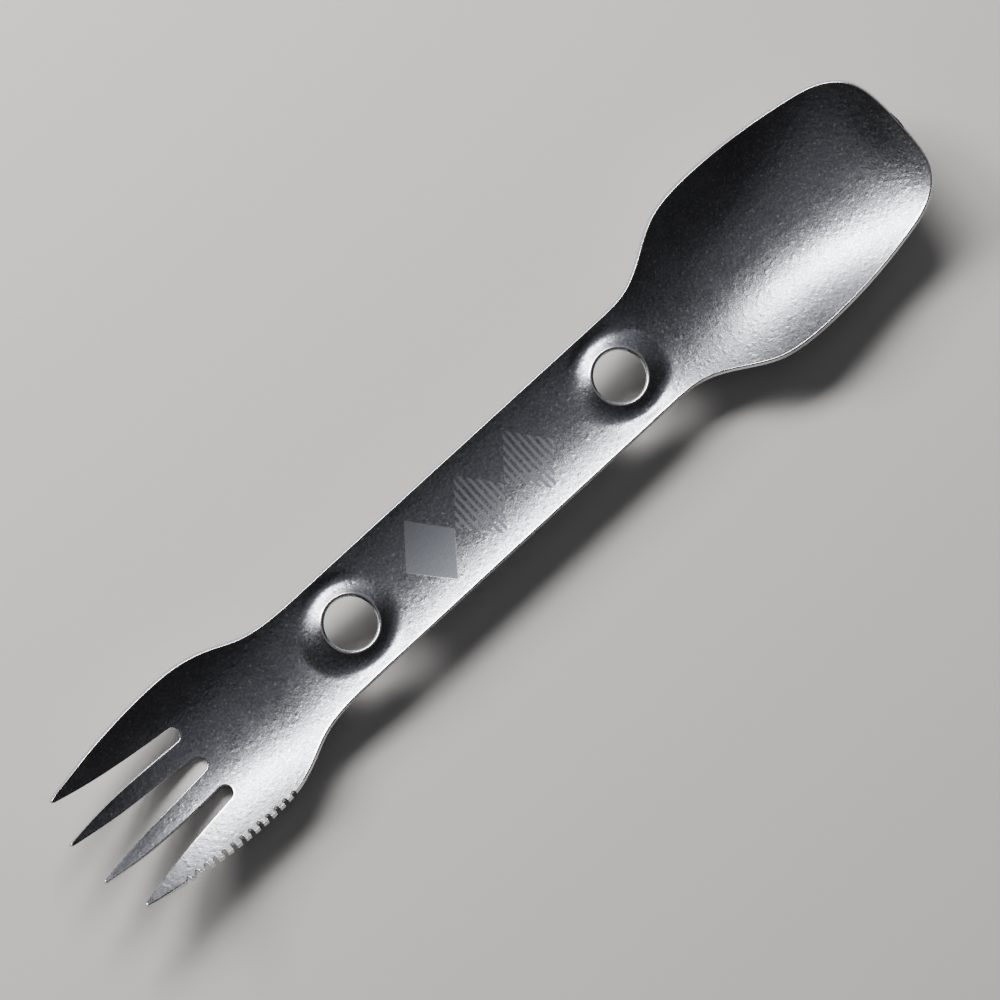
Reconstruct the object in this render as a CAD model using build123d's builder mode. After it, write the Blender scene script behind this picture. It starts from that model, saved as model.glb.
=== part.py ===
"""One-piece titanium picnic spork: a spoon bowl, a troughed handle with two raised holes, and a
four-tine fork whose one outer edge is serrated.

The real thing is blanked from one flat sheet and pressed to shape, so it is built the same way: a
flat blank, cut to the space between the underside and the upper side of the pressed sheet.

Millimetres. +X points from the fork to the spoon, +Y to the plain edge, +Z up. The origin lies in
the middle of the spork, on the surface that it rests on.
"""

from build123d import *

import os
from functools import lru_cache
from math import hypot, radians, tan

# --- Driving dimensions -----------------------------------------------------------------------
SHEET = 0.8  # thickness of the titanium sheet

SPOON_END = 85.8  # the rim at the tip of the bowl
FORK_END = -85.8  # the two middle points of the fork
HANDLE_HALF_WIDTH = 8.9
HANDLE_START = -35.0  # where the fork begins to widen
HANDLE_FINISH = 27.0  # where the bowl begins to widen

HOLE_XS = (-31.4, 25.6)
HOLE_RADIUS = 4.0
HOLE_CONE_ANGLE = 120.0  # of the broken edge round the top of each hole
HOLE_CONE_LIFT = 0.1  # how far above the rim that cone's cutter starts
MOUND_RADIUS = 9.0  # where the raised collar round a hole runs out into the handle
MOUND_HEIGHT = 3.3  # of the collar's full bell shape, which the hole then cuts away
MOUND_SEAT = 4.8  # height of the level that a collar is pressed up from

# Underside along the middle of the sheet, as (x, z). It rests at z = 0 under the bowl and the fork.
CENTRELINE = (
    (FORK_END, 8.8),
    (-77, 4.25),
    (-68.5, 1.3),
    (-60, 0.0),
    (-51, 0.8),
    (-43.5, 2.85),
    (-35, 4.25),
    (-22, 4.6),
    (0, 4.65),
    (20, 4.6),
    (31, 4.05),
    (39, 2.3),
    (47, 0.65),
    (57, 0.0),
    (67, 0.8),
    (75.5, 3.2),
    (81, 6.0),
    (SPOON_END, 9.7),
)
# How sharply the sheet is troughed across: z rises by this times y squared, as (x, rise).
TROUGH = (
    (FORK_END, 0.023),
    (-68, 0.026),
    (-52, 0.028),
    (-35, 0.0235),
    (-20, 0.0227),
    (20, 0.0227),
    (32, 0.0235),
    (45, 0.027),
    (57, 0.028),
    (68, 0.0235),
    (78, 0.0188),
    (SPOON_END, 0.0155),
)

SLOT_ROOT = -62.4  # centre of the round ends of the three slots
MIDDLE_SLOT_RADIUS = 1.4
SIDE_SLOT_RADIUS = 1.225
SIDE_SLOT_Y = 6.1
OUTER_TIP = (-83.75, 10.65)
INNER_TIP = (FORK_END, 3.8)
TIP_RADIUS = 0.32

NOTCHES = 13
NOTCH_PITCH = 1.75
NOTCH_WIDTH = 0.7
NOTCH_START = 20.9  # distance of the first notch from the handle, along the fork's edge
NOTCH_DEPTH_MIDDLE = 0.95
NOTCH_DEPTH_END = 0.5
NOTCH_OVERRUN = 0.6

GRID_STEPS_X = 116
GRID_STEPS_Y = 24
GRID_HALF_WIDTH = 18.0
SLOPE_STEP = 0.05  # spacing for measuring the slope of the underside
TALL = 20.0  # higher than any part of the sheet


# --- The pressed sheet ------------------------------------------------------------------------
with BuildLine() as centreline:
    Spline(*CENTRELINE)

with BuildLine() as trough:
    Spline(*TROUGH)


def height_on(curve: Edge, x: float) -> float:
    """The curve's second coordinate where its first is x, on a curve that runs along +X."""
    low, high = 0.0, 1.0
    for _ in range(24):
        middle = (low + high) / 2
        if (curve @ middle).X < x:
            low = middle
        else:
            high = middle
    return (curve @ low).Y


@lru_cache
def section_at(x: float) -> tuple[float, float]:
    """The underside's height in the middle at x, and how sharply it is troughed across there."""
    station = min(max(x, FORK_END), SPOON_END)
    return height_on(centreline.line, station), height_on(trough.line, station)


def underside_height(x: float, y: float) -> float:
    """Height of the underside of the pressed sheet, with the collars round the holes."""
    middle, rise = section_at(x)
    height = middle + rise * y * y
    for hole_x in HOLE_XS:
        share = (hypot(x - hole_x, y) / MOUND_RADIUS) ** 2
        if share < 1:
            level = (1 - share**3) ** 3
            height += (MOUND_SEAT - height) * level + MOUND_HEIGHT * (1 - share) ** 3
    return height


def underside_point(x: float, y: float) -> Vector:
    return Vector(x, y, underside_height(x, y))


def upper_point(x: float, y: float) -> Vector:
    """The point one sheet thickness above the underside, square to it."""
    along = underside_point(x + SLOPE_STEP, y) - underside_point(x - SLOPE_STEP, y)
    across = underside_point(x, y + SLOPE_STEP) - underside_point(x, y - SLOPE_STEP)
    return underside_point(x, y) + along.cross(across).normalized() * SHEET


def sheet_face(point_at) -> Face:
    """A smooth face through a grid of points, a little larger than the blank."""
    step_x = (SPOON_END - FORK_END) / (GRID_STEPS_X - 2)
    step_y = 2 * GRID_HALF_WIDTH / GRID_STEPS_Y
    xs = [FORK_END + i * step_x for i in range(-1, GRID_STEPS_X)]
    ys = [j * step_y - GRID_HALF_WIDTH for j in range(GRID_STEPS_Y + 1)]
    grid = [[point_at(x, y) for y in ys] for x in xs]
    return Face.make_surface_from_array_of_points(grid, tol=0.01, smoothing=(1, 1, 1), max_deg=5)


# --- The flat blank ---------------------------------------------------------------------------
with BuildSketch() as blank:
    with BuildLine():
        bowl = Spline(
            (SPOON_END, 0),
            (85.55, 5),
            (84.3, 9.3),
            (81.5, 12.25),
            (75, 14.48),
            (66.65, 15.73),
            (57.1, 16.3),
            (50.7, 16.07),
            (46.5, 15.2),
            (42.5, 13.12),
            (38.2, 10.57),
            (34.8, 9.35),
            (31.5, 8.96),
            (HANDLE_FINISH, HANDLE_HALF_WIDTH),
            tangents=((0, 1), (-1, 0)),
        )
        grip = Line(bowl @ 1, (HANDLE_START, HANDLE_HALF_WIDTH))
        shoulder = Spline(
            grip @ 1,
            (-41, 9.15),
            (-45.5, 10.1),
            (-49.3, 11.75),
            (-53.5, 13.15),
            (-60, 13.78),
            (-67.7, 13.43),
            (-73.8, 12.73),
            (-79.9, 11.66),
            (-83.35, 10.93),
            tangents=((-1, 0), (-0.95, -0.3)),
        )
        outer_tip = ThreePointArc(shoulder @ 1, OUTER_TIP, (-83.35, 10.65 - TIP_RADIUS))
        outer_tine = Spline(
            outer_tip @ 1,
            (-79.9, 9.59),
            (-70.75, 8.23),
            (SLOT_ROOT, SIDE_SLOT_Y + SIDE_SLOT_RADIUS),
        )
        side_slot = RadiusArc(
            outer_tine @ 1, (SLOT_ROOT, SIDE_SLOT_Y - SIDE_SLOT_RADIUS), SIDE_SLOT_RADIUS
        )
        inner_tine_outside = Spline(
            side_slot @ 1,
            (-70.75, 5.1),
            (-79.9, 4.78),
            (-85.4, INNER_TIP[1] + TIP_RADIUS),
        )
        inner_tip = ThreePointArc(
            inner_tine_outside @ 1, INNER_TIP, (-85.5, INNER_TIP[1] - TIP_RADIUS)
        )
        inner_tine_inside = Spline(
            inner_tip @ 1,
            (-76.8, 2.4),
            (-70, 1.92),
            (SLOT_ROOT, MIDDLE_SLOT_RADIUS),
        )
        RadiusArc(
            inner_tine_inside @ 1, (SLOT_ROOT + MIDDLE_SLOT_RADIUS, 0), MIDDLE_SLOT_RADIUS
        )
        mirror(about=Plane.XZ)
    make_face()

    # Serrations: a row of round-ended notches square to the edge of one outer tine.
    for i in range(NOTCHES):
        reach = NOTCH_START + i * NOTCH_PITCH
        edge_point = shoulder.position_at(reach, PositionMode.LENGTH)
        edge_angle = shoulder.tangent_angle_at(reach, PositionMode.LENGTH)
        off_centre = abs(2 * i / (NOTCHES - 1) - 1)
        depth = NOTCH_DEPTH_MIDDLE - (NOTCH_DEPTH_MIDDLE - NOTCH_DEPTH_END) * off_centre**3
        with Locations(Location((edge_point.X, -edge_point.Y), -edge_angle)):
            with Locations((0, (NOTCH_OVERRUN - depth) / 2)):
                SlotOverall(depth + NOTCH_OVERRUN, NOTCH_WIDTH, rotation=90, mode=Mode.SUBTRACT)


# --- The spork --------------------------------------------------------------------------------
underside = sheet_face(underside_point)
upper_side = sheet_face(upper_point)

with BuildPart() as spork:
    add(blank.sketch)
    extrude(amount=TALL)
    extrude(underside, amount=TALL, dir=(0, 0, 1), mode=Mode.INTERSECT)
    extrude(upper_side, amount=TALL, dir=(0, 0, 1), mode=Mode.SUBTRACT)
    for hole_x in HOLE_XS:
        rim = upper_point(hole_x + HOLE_RADIUS, 0)
        cone_radius = rim.X - hole_x + HOLE_CONE_LIFT * tan(radians(HOLE_CONE_ANGLE / 2))
        with Locations((hole_x, 0, rim.Z + HOLE_CONE_LIFT)):
            CounterSinkHole(HOLE_RADIUS, cone_radius, counter_sink_angle=HOLE_CONE_ANGLE)

spork.part.label = "spork"

os.makedirs("parts", exist_ok=True)
export_step(spork.part, "parts/spork.step")
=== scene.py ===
"""Looks of a one-piece titanium picnic spork: a spoon bowl, a troughed handle with two raised
holes, and a four-tine fork with one serrated edge, pressed from one sheet and tumbled.

The sheet is worked out in millimetres from its underside, and written to the mesh in metres.
"""

import math

import bpy
import numpy as np
from mathutils import Matrix, Vector
from mathutils.geometry import delaunay_2d_cdt


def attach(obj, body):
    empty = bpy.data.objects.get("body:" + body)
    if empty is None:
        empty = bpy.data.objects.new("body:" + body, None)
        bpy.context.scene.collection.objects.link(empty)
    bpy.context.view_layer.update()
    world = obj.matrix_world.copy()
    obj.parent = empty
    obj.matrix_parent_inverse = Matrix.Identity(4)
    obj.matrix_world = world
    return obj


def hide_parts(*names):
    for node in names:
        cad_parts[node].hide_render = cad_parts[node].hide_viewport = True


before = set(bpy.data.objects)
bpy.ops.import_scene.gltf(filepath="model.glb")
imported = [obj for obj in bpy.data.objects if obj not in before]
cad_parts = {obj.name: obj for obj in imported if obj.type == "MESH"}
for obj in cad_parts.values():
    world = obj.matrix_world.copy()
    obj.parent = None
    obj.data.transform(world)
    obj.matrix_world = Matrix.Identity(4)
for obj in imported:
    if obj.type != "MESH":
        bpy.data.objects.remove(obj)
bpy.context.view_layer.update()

MM = 0.001

# --- The pressed sheet, as the CAD model has it (mm) --------------------------------------------
SHEET = 0.8
SPOON_END = 85.8
FORK_END = -85.8
HANDLE_HALF_WIDTH = 8.9
HANDLE_START = -35.0
HANDLE_FINISH = 27.0
HOLE_XS = (-31.4, 25.6)
HOLE_RADIUS = 4.0
MOUND_RADIUS = 9.0
MOUND_HEIGHT = 3.3
MOUND_SEAT = 4.8
CENTRELINE = (
    (FORK_END, 8.8), (-77, 4.25), (-68.5, 1.3), (-60, 0.0), (-51, 0.8), (-43.5, 2.85),
    (-35, 4.25), (-22, 4.6), (0, 4.65), (20, 4.6), (31, 4.05), (39, 2.3), (47, 0.65),
    (57, 0.0), (67, 0.8), (75.5, 3.2), (81, 6.0), (SPOON_END, 9.7),
)
TROUGH = (
    (FORK_END, 0.023), (-68, 0.026), (-52, 0.028), (-35, 0.0235), (-20, 0.0227), (20, 0.0227),
    (32, 0.0235), (45, 0.027), (57, 0.028), (68, 0.0235), (78, 0.0188), (SPOON_END, 0.0155),
)
BOWL_OUTLINE = (
    (SPOON_END, 0), (85.55, 5), (84.3, 9.3), (81.5, 12.25), (75, 14.48), (66.65, 15.73),
    (57.1, 16.3), (50.7, 16.07), (46.5, 15.2), (42.5, 13.12), (38.2, 10.57), (34.8, 9.35),
    (31.5, 8.96), (HANDLE_FINISH, HANDLE_HALF_WIDTH),
)
SHOULDER_OUTLINE = (
    (HANDLE_START, HANDLE_HALF_WIDTH), (-41, 9.15), (-45.5, 10.1), (-49.3, 11.75),
    (-53.5, 13.15), (-60, 13.78), (-67.7, 13.43), (-73.8, 12.73), (-79.9, 11.66),
    (-83.35, 10.93),
)
SHOULDER_TANGENTS = (-1, 0), (-0.95, -0.3)  # which way it sets off and arrives
SLOT_ROOT = -62.4
MIDDLE_SLOT_RADIUS = 1.4
SIDE_SLOT_RADIUS = 1.225
SIDE_SLOT_Y = 6.1
TIP_RADIUS = 0.32
OUTER_TIP = (-83.35, 10.61)
INNER_TIP = (-85.45, 3.8)
OUTER_TIP_ARC = (100, 255)  # degrees
INNER_TIP_ARC = (97, 257)
OUTER_TINE_INSIDE = ((-79.9, 9.59), (-70.75, 8.23), (SLOT_ROOT, SIDE_SLOT_Y + SIDE_SLOT_RADIUS))
INNER_TINE_OUTSIDE = ((SLOT_ROOT, SIDE_SLOT_Y - SIDE_SLOT_RADIUS), (-70.75, 5.1), (-79.9, 4.78))
INNER_TINE_INSIDE = ((-76.8, 2.4), (-70, 1.92), (SLOT_ROOT, MIDDLE_SLOT_RADIUS))

NOTCHES = 13
NOTCH_PITCH = 1.75
NOTCH_WIDTH = 0.7
NOTCH_START = 20.9
NOTCH_DEPTH_MIDDLE = 0.95
NOTCH_DEPTH_END = 0.5
NOTCH_LIP = 0.09  # radius that tumbling leaves on the corners between teeth and notches
LIP_SPACING = 0.05
ROOT_SPACING = 0.1

# --- The mesh (mm) ------------------------------------------------------------------------------
EDGE_RADIUS = 0.17  # tumbled radius on both arrises of the cut edge
HOLE_EDGE_RADIUS = 0.3  # the same round the two holes
NOTCH_EDGE_RADIUS = 0.07  # the same along the notches; less than the radius of their lips
NOTCH_EDGE_FADE = 1.2  # length over which the edge radius changes beside the row of notches
EDGE_STEPS = 4
OUTLINE_SPACING = 0.35
ARC_SPACING = 0.12
GRID = 0.42
GRID_CLEARANCE = 0.3  # between the grid's points and the borders
GRID_ROWS = 40  # on either side of the middle
HOLE_SPACING = 0.2
NEAREST_POINTS = 0.02  # outline points closer than this are merged
MERGE_DISTANCE = 1e-7
INSIDE_ONLY = 1  # the triangulation's output type; it still fills the holes
DISTANCE_CHUNKS = 60
CORNER_LIMIT = 0.6  # keeps the inset from growing without end at a sharp corner
SLOPE_STEP = 0.02
PROFILE_SAMPLES = 6000
WEAR_REACH = 0.3  # how far from the edge the tumbling has polished the faces


# --- Curves -------------------------------------------------------------------------------------
def spline(points, start=None, end=None):
    """A smooth curve through points, as (its length, a function from distances to points).
    start and end are unit tangents; an end without one is left unbent."""
    p = np.array(points, float)
    knots = np.concatenate(([0.0], np.cumsum(np.linalg.norm(np.diff(p, axis=0), axis=1))))
    gaps = np.diff(knots)
    slopes = np.diff(p, axis=0) / gaps[:, None]
    count = len(p)
    system = np.zeros((count, count))
    wanted = np.zeros(p.shape)
    for i in range(1, count - 1):
        system[i, i - 1 : i + 2] = gaps[i - 1], 2 * (gaps[i - 1] + gaps[i]), gaps[i]
        wanted[i] = 6 * (slopes[i] - slopes[i - 1])
    system[0, 0] = system[-1, -1] = 1.0
    if start is not None:
        system[0, :2] = 2 * gaps[0], gaps[0]
        wanted[0] = 6 * (slopes[0] - np.array(start, float))
    if end is not None:
        system[-1, -2:] = gaps[-1], 2 * gaps[-1]
        wanted[-1] = 6 * (np.array(end, float) - slopes[-1])
    bends = np.linalg.solve(system, wanted)

    def at(distance):
        distance = np.atleast_1d(np.asarray(distance, float))
        i = np.clip(np.searchsorted(knots, distance) - 1, 0, count - 2)
        gap = gaps[i][:, None]
        after = distance[:, None] - knots[i][:, None]
        before = gap - after
        return (
            bends[i] * before**3 / (6 * gap)
            + bends[i + 1] * after**3 / (6 * gap)
            + (p[i] / gap - bends[i] * gap / 6) * before
            + (p[i + 1] / gap - bends[i + 1] * gap / 6) * after
        )

    return knots[-1], at


def walk(curve, spacing, first=0.0, last=None):
    """Points along a curve from one distance to another, both ends included."""
    length, at = curve
    last = length if last is None else last
    count = max(2, int(math.ceil((last - first) / spacing)) + 1)
    return at(np.linspace(first, last, count))


def arc(centre, radius, angle_from, angle_to, spacing=ARC_SPACING):
    """Points round an arc, both ends included; angles in degrees."""
    sweep = math.radians(abs(angle_to - angle_from))
    count = max(4, int(math.ceil(sweep * radius / spacing)) + 1)
    angles = np.radians(np.linspace(angle_from, angle_to, count))
    return np.array(centre) + radius * np.column_stack((np.cos(angles), np.sin(angles)))


def as_heights(points):
    """A function that reads the second coordinate of a curve through points off its first."""
    curve = spline(points)
    sampled = walk(curve, curve[0] / PROFILE_SAMPLES)
    return lambda x: np.interp(x, sampled[:, 0], sampled[:, 1])


# --- The sheet ----------------------------------------------------------------------------------
middle_height = as_heights(CENTRELINE)
trough_rise = as_heights(TROUGH)


def underside_height(x, y):
    """Height of the underside of the pressed sheet, with the collars round the holes."""
    height = middle_height(x) + trough_rise(x) * y**2
    for hole_x in HOLE_XS:
        share = np.minimum(((x - hole_x) ** 2 + y**2) / MOUND_RADIUS**2, 1.0)
        level = (1 - share**3) ** 3
        height = height + (MOUND_SEAT - height) * level + MOUND_HEIGHT * (1 - share) ** 3
    return height


def sheet_points(flat, rise):
    """Points of the sheet over flat (x, y), rise above its underside and square to it, and the
    sheet's upward normals there."""
    x, y = flat[:, 0], flat[:, 1]
    slope_x = underside_height(x + SLOPE_STEP, y) - underside_height(x - SLOPE_STEP, y)
    slope_y = underside_height(x, y + SLOPE_STEP) - underside_height(x, y - SLOPE_STEP)
    step = np.full(len(x), 2 * SLOPE_STEP)
    normals = np.column_stack((-slope_x, -slope_y, step))
    normals /= np.linalg.norm(normals, axis=1)[:, None]
    points = np.column_stack((x, y, underside_height(x, y))) + rise * normals
    return points, normals


# --- The blank's outline ------------------------------------------------------------------------
def notch_depth(number):
    off_centre = abs(2 * number / (NOTCHES - 1) - 1)
    return NOTCH_DEPTH_MIDDLE - (NOTCH_DEPTH_MIDDLE - NOTCH_DEPTH_END) * off_centre**3


def notch_profile(depth):
    """One notch as (along the edge, into the sheet), with rounded lips and a round root."""
    half = NOTCH_WIDTH / 2
    first_lip = arc((-half - NOTCH_LIP, NOTCH_LIP), NOTCH_LIP, -90, 0, LIP_SPACING)
    root = arc((0, depth - half), half, 180, 0, ROOT_SPACING)
    last_lip = arc((half + NOTCH_LIP, NOTCH_LIP), NOTCH_LIP, 180, 270, LIP_SPACING)
    return np.vstack((first_lip, root, last_lip))


def serrated(curve):
    """The fork's edge from handle to tip with its row of notches."""
    length, at = curve
    half_mouth = NOTCH_WIDTH / 2 + NOTCH_LIP
    pieces = []
    reached = 0.0
    for number in range(NOTCHES):
        centre = NOTCH_START + number * NOTCH_PITCH
        before = walk(curve, OUTLINE_SPACING, reached, centre - half_mouth)
        profile = notch_profile(notch_depth(number))
        on_edge = at(centre + profile[:, 0])
        ahead = at(centre + profile[:, 0] + SLOPE_STEP) - on_edge
        ahead /= np.linalg.norm(ahead, axis=1)[:, None]
        inward = np.column_stack((-ahead[:, 1], ahead[:, 0]))
        pieces += [before[:-1], (on_edge + profile[:, 1:] * inward)[:-1]]
        reached = centre + half_mouth
    pieces.append(walk(curve, OUTLINE_SPACING, reached, length))
    return np.vstack(pieces)


def half_outline(shoulder_points):
    """One side of the blank, from the tip of the bowl to the root of the middle slot, +Y side."""
    outer_tip = arc(OUTER_TIP, TIP_RADIUS, *OUTER_TIP_ARC)
    outer_tine = spline((outer_tip[-1], *OUTER_TINE_INSIDE))
    side_slot = arc((SLOT_ROOT, SIDE_SLOT_Y), SIDE_SLOT_RADIUS, 90, -90)
    inner_tip = arc(INNER_TIP, TIP_RADIUS, *INNER_TIP_ARC)
    inner_outside = spline((*INNER_TINE_OUTSIDE, inner_tip[0]))
    inner_inside = spline((inner_tip[-1], *INNER_TINE_INSIDE))
    middle_slot = arc((SLOT_ROOT, 0), MIDDLE_SLOT_RADIUS, 90, 0)
    bowl = spline(BOWL_OUTLINE, (0, 1), (-1, 0))
    grip = spline(((HANDLE_FINISH, HANDLE_HALF_WIDTH), (HANDLE_START, HANDLE_HALF_WIDTH)))
    runs = (
        walk(bowl, OUTLINE_SPACING),
        walk(grip, OUTLINE_SPACING),
        shoulder_points,
        outer_tip,
        walk(outer_tine, OUTLINE_SPACING),
        side_slot,
        walk(inner_outside, OUTLINE_SPACING),
        inner_tip,
        walk(inner_inside, OUTLINE_SPACING),
        middle_slot,
    )
    return without_repeats(np.vstack(runs))


def without_repeats(points):
    kept = [points[0]]
    for point in points[1:]:
        if np.linalg.norm(point - kept[-1]) > NEAREST_POINTS:
            kept.append(point)
    return np.array(kept)


def outlines():
    """The closed loops of the blank, each with the sheet on its left."""
    shoulder = spline(SHOULDER_OUTLINE, *SHOULDER_TANGENTS)
    plain_side = half_outline(walk(shoulder, OUTLINE_SPACING))
    serrated_side = half_outline(serrated(shoulder)) * (1, -1)
    outer = np.vstack((plain_side, serrated_side[::-1][1:-1]))
    holes = [arc((x, 0), HOLE_RADIUS, 360, 0, HOLE_SPACING)[:-1] for x in HOLE_XS]
    return [outer, *holes]


def outward(loop):
    """At each point of a loop, the way out of the sheet, lengthened at corners so that a loop
    moved along it keeps its distance."""
    ahead = np.roll(loop, -1, axis=0) - loop
    ahead /= np.linalg.norm(ahead, axis=1)[:, None]
    square = np.column_stack((ahead[:, 1], -ahead[:, 0]))
    both = square + np.roll(square, 1, axis=0)
    both /= np.linalg.norm(both, axis=1)[:, None]
    reach = np.clip((both * square).sum(1), CORNER_LIMIT, 1.0)
    return both / reach[:, None]


# --- The mesh -----------------------------------------------------------------------------------
def inside(points, loops):
    """Which points lie in the sheet, by counting the loops' edges to their right."""
    crossings = np.zeros(len(points), int)
    for loop in loops:
        for (x1, y1), (x2, y2) in zip(loop, np.roll(loop, -1, axis=0)):
            spans = (y1 > points[:, 1]) != (y2 > points[:, 1])
            where = x1 + (points[:, 1] - y1) / ((y2 - y1) or 1e-12) * (x2 - x1)
            crossings += spans & (points[:, 0] < where)
    return crossings % 2 == 1


def distance_to(loops, points):
    """How far each point is from the nearest point of the loops."""
    edge_points = np.vstack(loops)
    nearest = np.empty(len(points))
    for chunk in np.array_split(np.arange(len(points)), DISTANCE_CHUNKS):
        gaps = np.linalg.norm(points[chunk, None, :] - edge_points[None, :, :], axis=2)
        nearest[chunk] = gaps.min(1)
    return nearest


def triangulated(loops):
    """The flat area between the loops as (points, faces). The loops' points come first."""
    xs = np.arange(FORK_END, SPOON_END, GRID)
    ys = np.arange(-GRID_ROWS, GRID_ROWS + 1) * GRID
    grid = np.array([(x, y) for x in xs for y in ys])
    grid = grid[inside(grid, loops)]
    grid = grid[distance_to(loops, grid) > GRID_CLEARANCE]
    points = np.vstack([*loops, grid])
    edges = []
    start = 0
    for loop in loops:
        edges += [(start + i, start + (i + 1) % len(loop)) for i in range(len(loop))]
        start += len(loop)
    flat, _, faces, origins, _, _ = delaunay_2d_cdt(
        [Vector(p) for p in points], edges, [], INSIDE_ONLY, MERGE_DISTANCE
    )
    flat = np.array([tuple(v) for v in flat])
    faces = np.array(faces)
    return flat, faces[inside(flat[faces].mean(1), loops)].tolist(), origins


def edge_profile():
    """The cut edge in section, from the underside to the upper side, in edge radii, as (in from
    the outline, away from the nearer side, whether that is the upper side, share of the normal
    that points up, share that points out)."""
    rows = []
    for step in range(EDGE_STEPS + 1):
        turn = math.pi / 2 * step / EDGE_STEPS
        out, down = math.sin(turn), math.cos(turn)
        rows.append((1 - out, 1 - down, False, -down, out))
    upper = [(inset, depth, True, -up, out) for inset, depth, _, up, out in reversed(rows)]
    return rows + upper


def outer_edge_radii(loop):
    """The edge radius at each point of the outer outline, finer along the notches."""
    half_mouth = NOTCH_WIDTH / 2 + NOTCH_LIP
    first = NOTCH_START - half_mouth
    last = NOTCH_START + (NOTCHES - 1) * NOTCH_PITCH + half_mouth
    _, at = spline(SHOULDER_OUTLINE, *SHOULDER_TANGENTS)
    row = at(np.linspace(first, last, 4 * NOTCHES + 1)) * (1, -1)
    gap = np.linalg.norm(loop[:, None, :] - row[None, :, :], axis=2).min(1)
    share = np.clip((gap - NOTCH_PITCH) / NOTCH_EDGE_FADE, 0.0, 1.0)
    return NOTCH_EDGE_RADIUS + (EDGE_RADIUS - NOTCH_EDGE_RADIUS) * share


def spork_mesh():
    """The whole sheet: underside, upper side and rounded cut edges, as one closed mesh."""
    loops = outlines()
    ways_out = [outward(loop) for loop in loops]
    radius_at = np.concatenate(
        [outer_edge_radii(loops[0])] + [np.full(len(hole), HOLE_EDGE_RADIUS) for hole in loops[1:]]
    )[:, None]
    all_loops, all_ways = np.vstack(loops), np.vstack(ways_out)
    borders = split(all_loops - radius_at * all_ways, loops)
    flat, faces, origins = triangulated(borders)
    loop_total = sum(len(loop) for loop in loops)
    place = {source: i for i, sources in enumerate(origins) for source in sources}
    on_border = [place[i] for i in range(loop_total)]

    points, normals = [], []
    for rise, side in ((0.0, -1.0), (SHEET, 1.0)):
        sheet, up = sheet_points(flat, rise)
        points.append(sheet)
        normals.append(up * side)
    count = len(flat)
    made_faces = [tuple(reversed(face)) for face in faces]
    made_faces += [tuple(count + i for i in face) for face in faces]

    profile = edge_profile()
    rings = [on_border]
    total = 2 * count
    for inset, depth, on_top, up_share, out_share in profile[1:-1]:
        rise = SHEET - radius_at * depth if on_top else radius_at * depth
        ring, up = sheet_points(all_loops - inset * radius_at * all_ways, rise)
        ahead = np.vstack(
            [np.roll(part, -1, axis=0) - np.roll(part, 1, axis=0) for part in split(ring, loops)]
        )
        out = np.cross(ahead, up)
        out /= np.linalg.norm(out, axis=1)[:, None]
        points.append(ring)
        normals.append(up_share * up + out_share * out)
        rings.append([total + i for i in range(loop_total)])
        total += loop_total
    rings.append([count + i for i in on_border])
    start = 0
    for loop in loops:
        for low, high in zip(rings, rings[1:]):
            for i in range(len(loop)):
                a, b = start + i, start + (i + 1) % len(loop)
                made_faces.append((low[a], low[b], high[b], high[a]))
        start += len(loop)
    points = np.vstack(points)
    points[:, 2] -= points[:, 2].min()
    wear = np.ones(len(points))
    wear[: 2 * count] = np.tile(np.exp(-((distance_to(borders, flat) / WEAR_REACH) ** 2)), 2)
    upper = np.zeros(len(points))
    upper[count : 2 * count] = 1.0
    return points, np.vstack(normals), made_faces, {"wear": wear, "upper": upper}


def split(rows, loops):
    """Rows of points cut back into one part per loop."""
    return np.split(rows, np.cumsum([len(loop) for loop in loops])[:-1])


def make_spork():
    points, normals, faces, marks = spork_mesh()
    mesh = bpy.data.meshes.new("spork_body")
    mesh.from_pydata((points * MM).tolist(), [], faces)
    mesh.validate()
    mesh.shade_smooth()
    mesh.normals_split_custom_set_from_vertices(normals.tolist())
    for name, values in marks.items():
        mesh.attributes.new(name, "FLOAT", "POINT").data.foreach_set("value", values)
    mesh.update()
    spork = bpy.data.objects.new("spork_body", mesh)
    bpy.context.collection.objects.link(spork)
    return spork


# --- Materials ----------------------------------------------------------------------------------
ORNAMENT_X = -4.1 * MM  # middle of the etched ornament on the handle
LOZENGE_LENGTH = 10.4 * MM
LOZENGE_HALF_WIDTH = 6.2 * MM
LOZENGES = 3
STRIPE_PITCH = 1.04 * MM
SWAY = 0.9 * MM  # how far dents and nicks are pushed out of round
SWAY_SIZE = 0.7 * MM
GRAIN_SIZE = 0.34 * MM
SPECKLE_SIZE = 0.42 * MM
FLECK_SIZE = 0.5 * MM
PATCH_SIZE = 2.6 * MM
CLOUD_SIZE = 14 * MM
DENT_SPACING = 1.1 * MM
NICK_SPACING = 3.4 * MM
ETCH_DEPTH = 0.012 * MM
NICK_DEPTH = 0.035 * MM
DENT_DEPTH = 0.025 * MM
GRAIN_DEPTH = 0.030 * MM
DARK_METAL, PALE_METAL = (0.40, 0.41, 0.44, 1), (0.46, 0.47, 0.50, 1)
SPECKLED_METAL = (0.61, 0.61, 0.63, 1)
FLECKED_METAL = (0.80, 0.80, 0.82, 1)
WORN_METAL = (0.80, 0.80, 0.81, 1)
DARK_ETCHING, PALE_ETCHING = (0.27, 0.28, 0.30, 1), (0.32, 0.33, 0.36, 1)
FLOOR_COLOUR = (0.82, 0.80, 0.77, 1)
FLOOR_ROUGHNESS = 0.8


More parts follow.
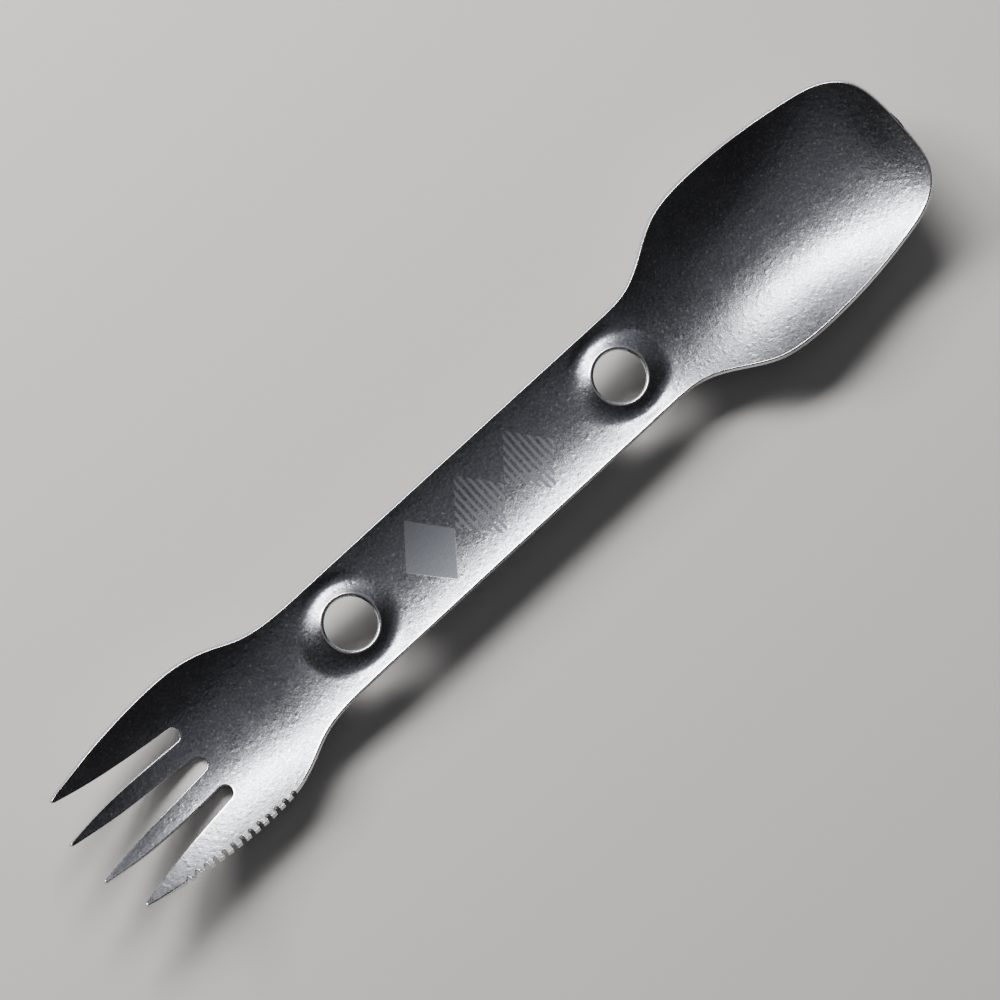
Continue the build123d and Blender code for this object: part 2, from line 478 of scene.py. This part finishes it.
class Nodes:
    """Short ways to add shader nodes. Values may be numbers or other nodes' outputs."""

    def __init__(self, name):
        self.material = bpy.data.materials.new(name)
        self.material.use_nodes = True
        self.tree = self.material.node_tree
        self.shader = self.tree.nodes["Principled BSDF"]

    def put(self, socket, value):
        if isinstance(value, bpy.types.NodeSocket):
            self.tree.links.new(value, socket)
        else:
            socket.default_value = value

    def add(self, kind, output, inputs, **settings):
        made = self.tree.nodes.new(kind)
        for name, value in settings.items():
            setattr(made, name, value)
        for name, value in inputs.items():
            self.put(made.inputs[name], value)
        return made.outputs[output]

    def maths(self, operation, *values):
        made = self.tree.nodes.new("ShaderNodeMath")
        made.operation = operation
        for socket, value in zip(made.inputs, values):
            self.put(socket, value)
        return made.outputs[0]

    def noise(self, place, size, detail=2.0, roughness=0.5):
        inputs = {"Vector": place, "Scale": 1 / size, "Detail": detail, "Roughness": roughness}
        return self.add("ShaderNodeTexNoise", "Fac", inputs)

    def ramp(self, value, start, finish, low=0.0, high=1.0):
        inputs = {
            "Value": value, "From Min": start, "From Max": finish, "To Min": low, "To Max": high
        }
        return self.add("ShaderNodeMapRange", "Result", inputs)

    def blend(self, share, first, second):
        """first where share is 0, second where it is 1."""
        made = self.tree.nodes.new("ShaderNodeMix")
        made.data_type = "RGBA"
        self.put(made.inputs[0], share)
        # Inputs 6 and 7 and output 2 are the node's colour sockets.
        self.put(made.inputs[6], first)
        self.put(made.inputs[7], second)
        return made.outputs[2]

    def bump(self, height, distance, strength=1.0, normal=None):
        inputs = {"Height": height, "Distance": distance, "Strength": strength}
        if normal is not None:
            inputs["Normal"] = normal
        return self.add("ShaderNodeBump", "Normal", inputs)


def ornament(nodes, place):
    """Where the handle is etched: a row of three lozenges, the first one solid and the others
    striped across."""
    split_place = nodes.tree.nodes.new("ShaderNodeSeparateXYZ")
    nodes.put(split_place.inputs[0], place)
    along, across = split_place.outputs[0], split_place.outputs[1]
    shifted = nodes.maths("SUBTRACT", along, ORNAMENT_X - LOZENGES * LOZENGE_LENGTH / 2)
    cell = nodes.maths("DIVIDE", shifted, LOZENGE_LENGTH)
    in_row = nodes.maths("COMPARE", cell, LOZENGES / 2, LOZENGES / 2)
    off_middle = nodes.maths("ABSOLUTE", nodes.maths("SUBTRACT", nodes.maths("FRACT", cell), 0.5))
    sideways = nodes.maths("DIVIDE", nodes.maths("ABSOLUTE", across), LOZENGE_HALF_WIDTH)
    reach = nodes.maths("ADD", nodes.maths("MULTIPLY", off_middle, 2.0), sideways)
    lozenge = nodes.maths("MULTIPLY", nodes.ramp(reach, 1.0, 0.97), in_row)
    wave = nodes.maths("PINGPONG", shifted, STRIPE_PITCH / 2)
    stripe = nodes.ramp(wave, 0.24 * STRIPE_PITCH, 0.29 * STRIPE_PITCH)
    first = nodes.maths("LESS_THAN", cell, 1.0)
    filled = nodes.maths("MAXIMUM", stripe, first)
    upper = nodes.add("ShaderNodeAttribute", "Fac", {}, attribute_name="upper")
    return nodes.maths("MULTIPLY", nodes.maths("MULTIPLY", lozenge, filled), upper)


def titanium():
    nodes = Nodes("tumbled_titanium")
    place = nodes.add("ShaderNodeTexCoord", "Object", {})
    etched = ornament(nodes, place)
    wear = nodes.add("ShaderNodeAttribute", "Fac", {}, attribute_name="wear")

    grain = nodes.noise(place, GRAIN_SIZE, 3.0, 0.7)
    speckle = nodes.noise(place, SPECKLE_SIZE, 2.0, 0.55)
    flecks = nodes.noise(place, FLECK_SIZE, 0.0)
    patches = nodes.noise(place, PATCH_SIZE, 4.0, 0.6)
    clouds = nodes.noise(place, CLOUD_SIZE, 2.0, 0.5)
    sway = nodes.add("ShaderNodeTexNoise", "Color", {"Vector": place, "Scale": 1 / SWAY_SIZE})
    pushed = nodes.add(
        "ShaderNodeVectorMath", 0, {0: sway, 1: (SWAY,) * 3, 2: place}, operation="MULTIPLY_ADD"
    )
    dents = nodes.add(
        "ShaderNodeTexVoronoi", "Distance", {"Vector": pushed, "Scale": 1 / DENT_SPACING}
    )
    nicks = nodes.add(
        "ShaderNodeTexVoronoi", "Distance", {"Vector": pushed, "Scale": 1 / NICK_SPACING}
    )

    tone = nodes.blend(nodes.ramp(patches, 0.3, 0.7), DARK_METAL, PALE_METAL)
    tone = nodes.blend(nodes.ramp(speckle, 0.42, 0.72), tone, SPECKLED_METAL)
    tone = nodes.blend(nodes.ramp(flecks, 0.73, 0.81), tone, FLECKED_METAL)
    tone = nodes.blend(nodes.ramp(wear, 0.5, 1.0, 0.0, 0.8), tone, WORN_METAL)
    matt = nodes.blend(nodes.ramp(grain, 0.3, 0.7), DARK_ETCHING, PALE_ETCHING)
    nodes.put(nodes.shader.inputs["Base Color"], nodes.blend(etched, tone, matt))
    nodes.put(nodes.shader.inputs["Metallic"], nodes.ramp(etched, 0.0, 1.0, 1.0, 0.3))

    rough = nodes.ramp(grain, 0.3, 0.7, 0.43, 0.31)
    rough = nodes.maths("ADD", rough, nodes.ramp(patches, 0.3, 0.7, -0.02, 0.02))
    rough = nodes.maths("ADD", rough, nodes.ramp(clouds, 0.3, 0.7, -0.02, 0.02))
    rough = nodes.maths("SUBTRACT", rough, nodes.ramp(wear, 0.5, 1.0, 0.0, 0.1))
    rough = nodes.maths("ADD", rough, nodes.ramp(etched, 0.0, 1.0, 0.0, 0.22))
    nodes.put(nodes.shader.inputs["Roughness"], rough)

    # Worn edges and etched marks keep little of the relief.
    rubbed = nodes.ramp(wear, 0.3, 1.0, 1.0, 0.08)
    rubbed = nodes.maths("MULTIPLY", rubbed, nodes.ramp(etched, 0.0, 1.0, 1.0, 0.35))
    normal = nodes.bump(nodes.ramp(etched, 0.0, 1.0, 1.0, 0.0), ETCH_DEPTH)
    normal = nodes.bump(nodes.ramp(nicks, 0.0, 0.14), NICK_DEPTH, rubbed, normal)
    normal = nodes.bump(nodes.ramp(dents, 0.0, 0.5), DENT_DEPTH, rubbed, normal)
    normal = nodes.bump(grain, GRAIN_DEPTH, rubbed, normal)
    nodes.put(nodes.shader.inputs["Normal"], normal)
    return nodes.material


def pale_floor():
    nodes = Nodes("pale_floor")
    nodes.put(nodes.shader.inputs["Base Color"], FLOOR_COLOUR)
    nodes.put(nodes.shader.inputs["Roughness"], FLOOR_ROUGHNESS)
    return nodes.material


# --- Studio -------------------------------------------------------------------------------------
HEADING = math.radians(43.4)  # of the spork's axis in the picture
LEAN_TO_FORK = math.radians(12.0)  # of the camera from straight above
LEAN_TO_SERRATIONS = math.radians(1.5)
AIM = Vector((-0.0011, -0.0015, 0.005))
CAMERA_DISTANCE = 0.72
VIEW_WIDTH = 0.1532
VIEW_AWAY = Vector((-math.tan(LEAN_TO_FORK), -math.tan(LEAN_TO_SERRATIONS), 1)).normalized()
VIEW_UP = Vector((math.sin(HEADING), math.cos(HEADING), 0))
COOL = (0.90, 0.92, 1.0)  # colour of the fill lights
FLOOR_HALF_WIDTH = 3.0
WORLD_COLOUR = (1.0, 0.96, 0.95, 1)
WORLD_STRENGTH = 0.03
WHITE = (1, 1, 1)
# Each as name, way, elevation (degrees), distance, width, height (metres), power (watts), colour.
SOFTBOXES = (
    ("key", (0.22, 1, 0), 41, 0.9, 0.68, 0.21, 5.2, WHITE),
    ("low_window", (-0.45, 1, 0), 30, 0.9, 0.30, 0.24, 2.6, WHITE),
    ("side", (1, 0.35, 0), 24, 0.9, 0.6, 0.4, 0.25, COOL),
    ("ceiling", (0, -1, 0), 84, 1.2, 2.0, 1.5, 1.35, COOL),
)


def look_rotation(direction, up):
    """The turn that points an object's -Z along direction with its +Y nearest to up."""
    back = -direction.normalized()
    right = up.cross(back).normalized()
    return Matrix((right, back.cross(right), back)).transposed()


def make_camera():
    data = bpy.data.cameras.new("camera")
    data.lens = data.sensor_width * CAMERA_DISTANCE / VIEW_WIDTH
    data.clip_start = 0.01
    camera = bpy.data.objects.new("camera", data)
    bpy.context.collection.objects.link(camera)
    turn = look_rotation(-VIEW_AWAY, VIEW_UP).to_quaternion()
    camera.matrix_world = Matrix.LocRotScale(AIM + VIEW_AWAY * CAMERA_DISTANCE, turn, None)
    bpy.context.scene.camera = camera


def make_softbox(name, way, elevation, distance, width, height, power, colour):
    """A rectangular softbox, seen from the spork along way and up by elevation degrees."""
    lift = math.radians(elevation)
    data = bpy.data.lights.new(name, "AREA")
    data.shape = "RECTANGLE"
    data.size = width
    data.size_y = height
    data.energy = power
    data.color = colour
    light = bpy.data.objects.new(name, data)
    bpy.context.collection.objects.link(light)
    towards = Vector(way).normalized() * math.cos(lift) + Vector((0, 0, math.sin(lift)))
    turn = look_rotation(-towards, Vector((0, 0, 1))).to_quaternion()
    light.matrix_world = Matrix.LocRotScale(AIM + towards * distance, turn, None)


def make_floor():
    mesh = bpy.data.meshes.new("floor")
    half = FLOOR_HALF_WIDTH
    corners = [(-half, -half, 0), (half, -half, 0), (half, half, 0), (-half, half, 0)]
    mesh.from_pydata(corners, [], [(0, 1, 2, 3)])
    floor = bpy.data.objects.new("floor", mesh)
    bpy.context.collection.objects.link(floor)
    mesh.materials.append(pale_floor())


def make_world():
    world = bpy.data.worlds.new("studio")
    world.use_nodes = True
    background = world.node_tree.nodes["Background"]
    background.inputs["Color"].default_value = WORLD_COLOUR
    background.inputs["Strength"].default_value = WORLD_STRENGTH
    bpy.context.scene.world = world


spork = make_spork()
spork.data.materials.append(titanium())
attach(spork, "root")
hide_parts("spork")

make_camera()
make_floor()
make_world()
for softbox in SOFTBOXES:
    make_softbox(*softbox)
bpy.context.scene.view_settings.view_transform = "AgX"
bpy.context.scene.view_settings.look = "AgX - High Contrast"
